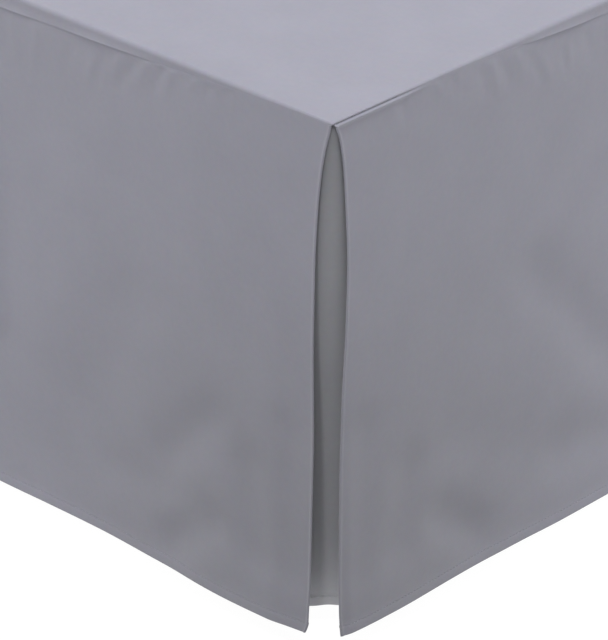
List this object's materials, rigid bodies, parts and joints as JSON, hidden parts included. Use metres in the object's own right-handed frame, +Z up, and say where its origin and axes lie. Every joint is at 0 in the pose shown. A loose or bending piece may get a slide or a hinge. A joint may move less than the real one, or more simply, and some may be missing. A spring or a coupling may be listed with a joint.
{
  "type": "bed skirt on bed base",
  "caption": "Tailored cloth bed skirt with flat hemmed panels and split corners over hidden underlays, hanging from its deck over a plain box foundation on legs.",
  "frame": {"origin": "on the floor under the middle of the bed base and its skirt", "axes": "+Z up, +Y towards the head end, which has no skirt, -Y towards the foot, +X towards the side that the picture shows"},
  "size_m": [1.5452, 2.0428, 0.394],
  "materials": {
    "skirt_cloth": "matt brushed microfibre, mid grey with a slight violet cast",
    "foundation_ticking": "plain woven cover, off-white",
    "leg_wood": "satin dark stain"
  },
  "bodies": {
    "root": {"deck": "skirt_cloth", "foot_drop": "skirt_cloth", "side_drop_right": "skirt_cloth", "side_drop_left": "skirt_cloth", "corner_underlay_right": "skirt_cloth", "corner_underlay_left": "skirt_cloth", "foundation": "foundation_ticking", "leg_front_right": "leg_wood", "leg_front_left": "leg_wood", "leg_middle_right": "leg_wood", "leg_middle_left": "leg_wood", "leg_back_right": "leg_wood", "leg_back_left": "leg_wood"}
  },
  "joints": []
}
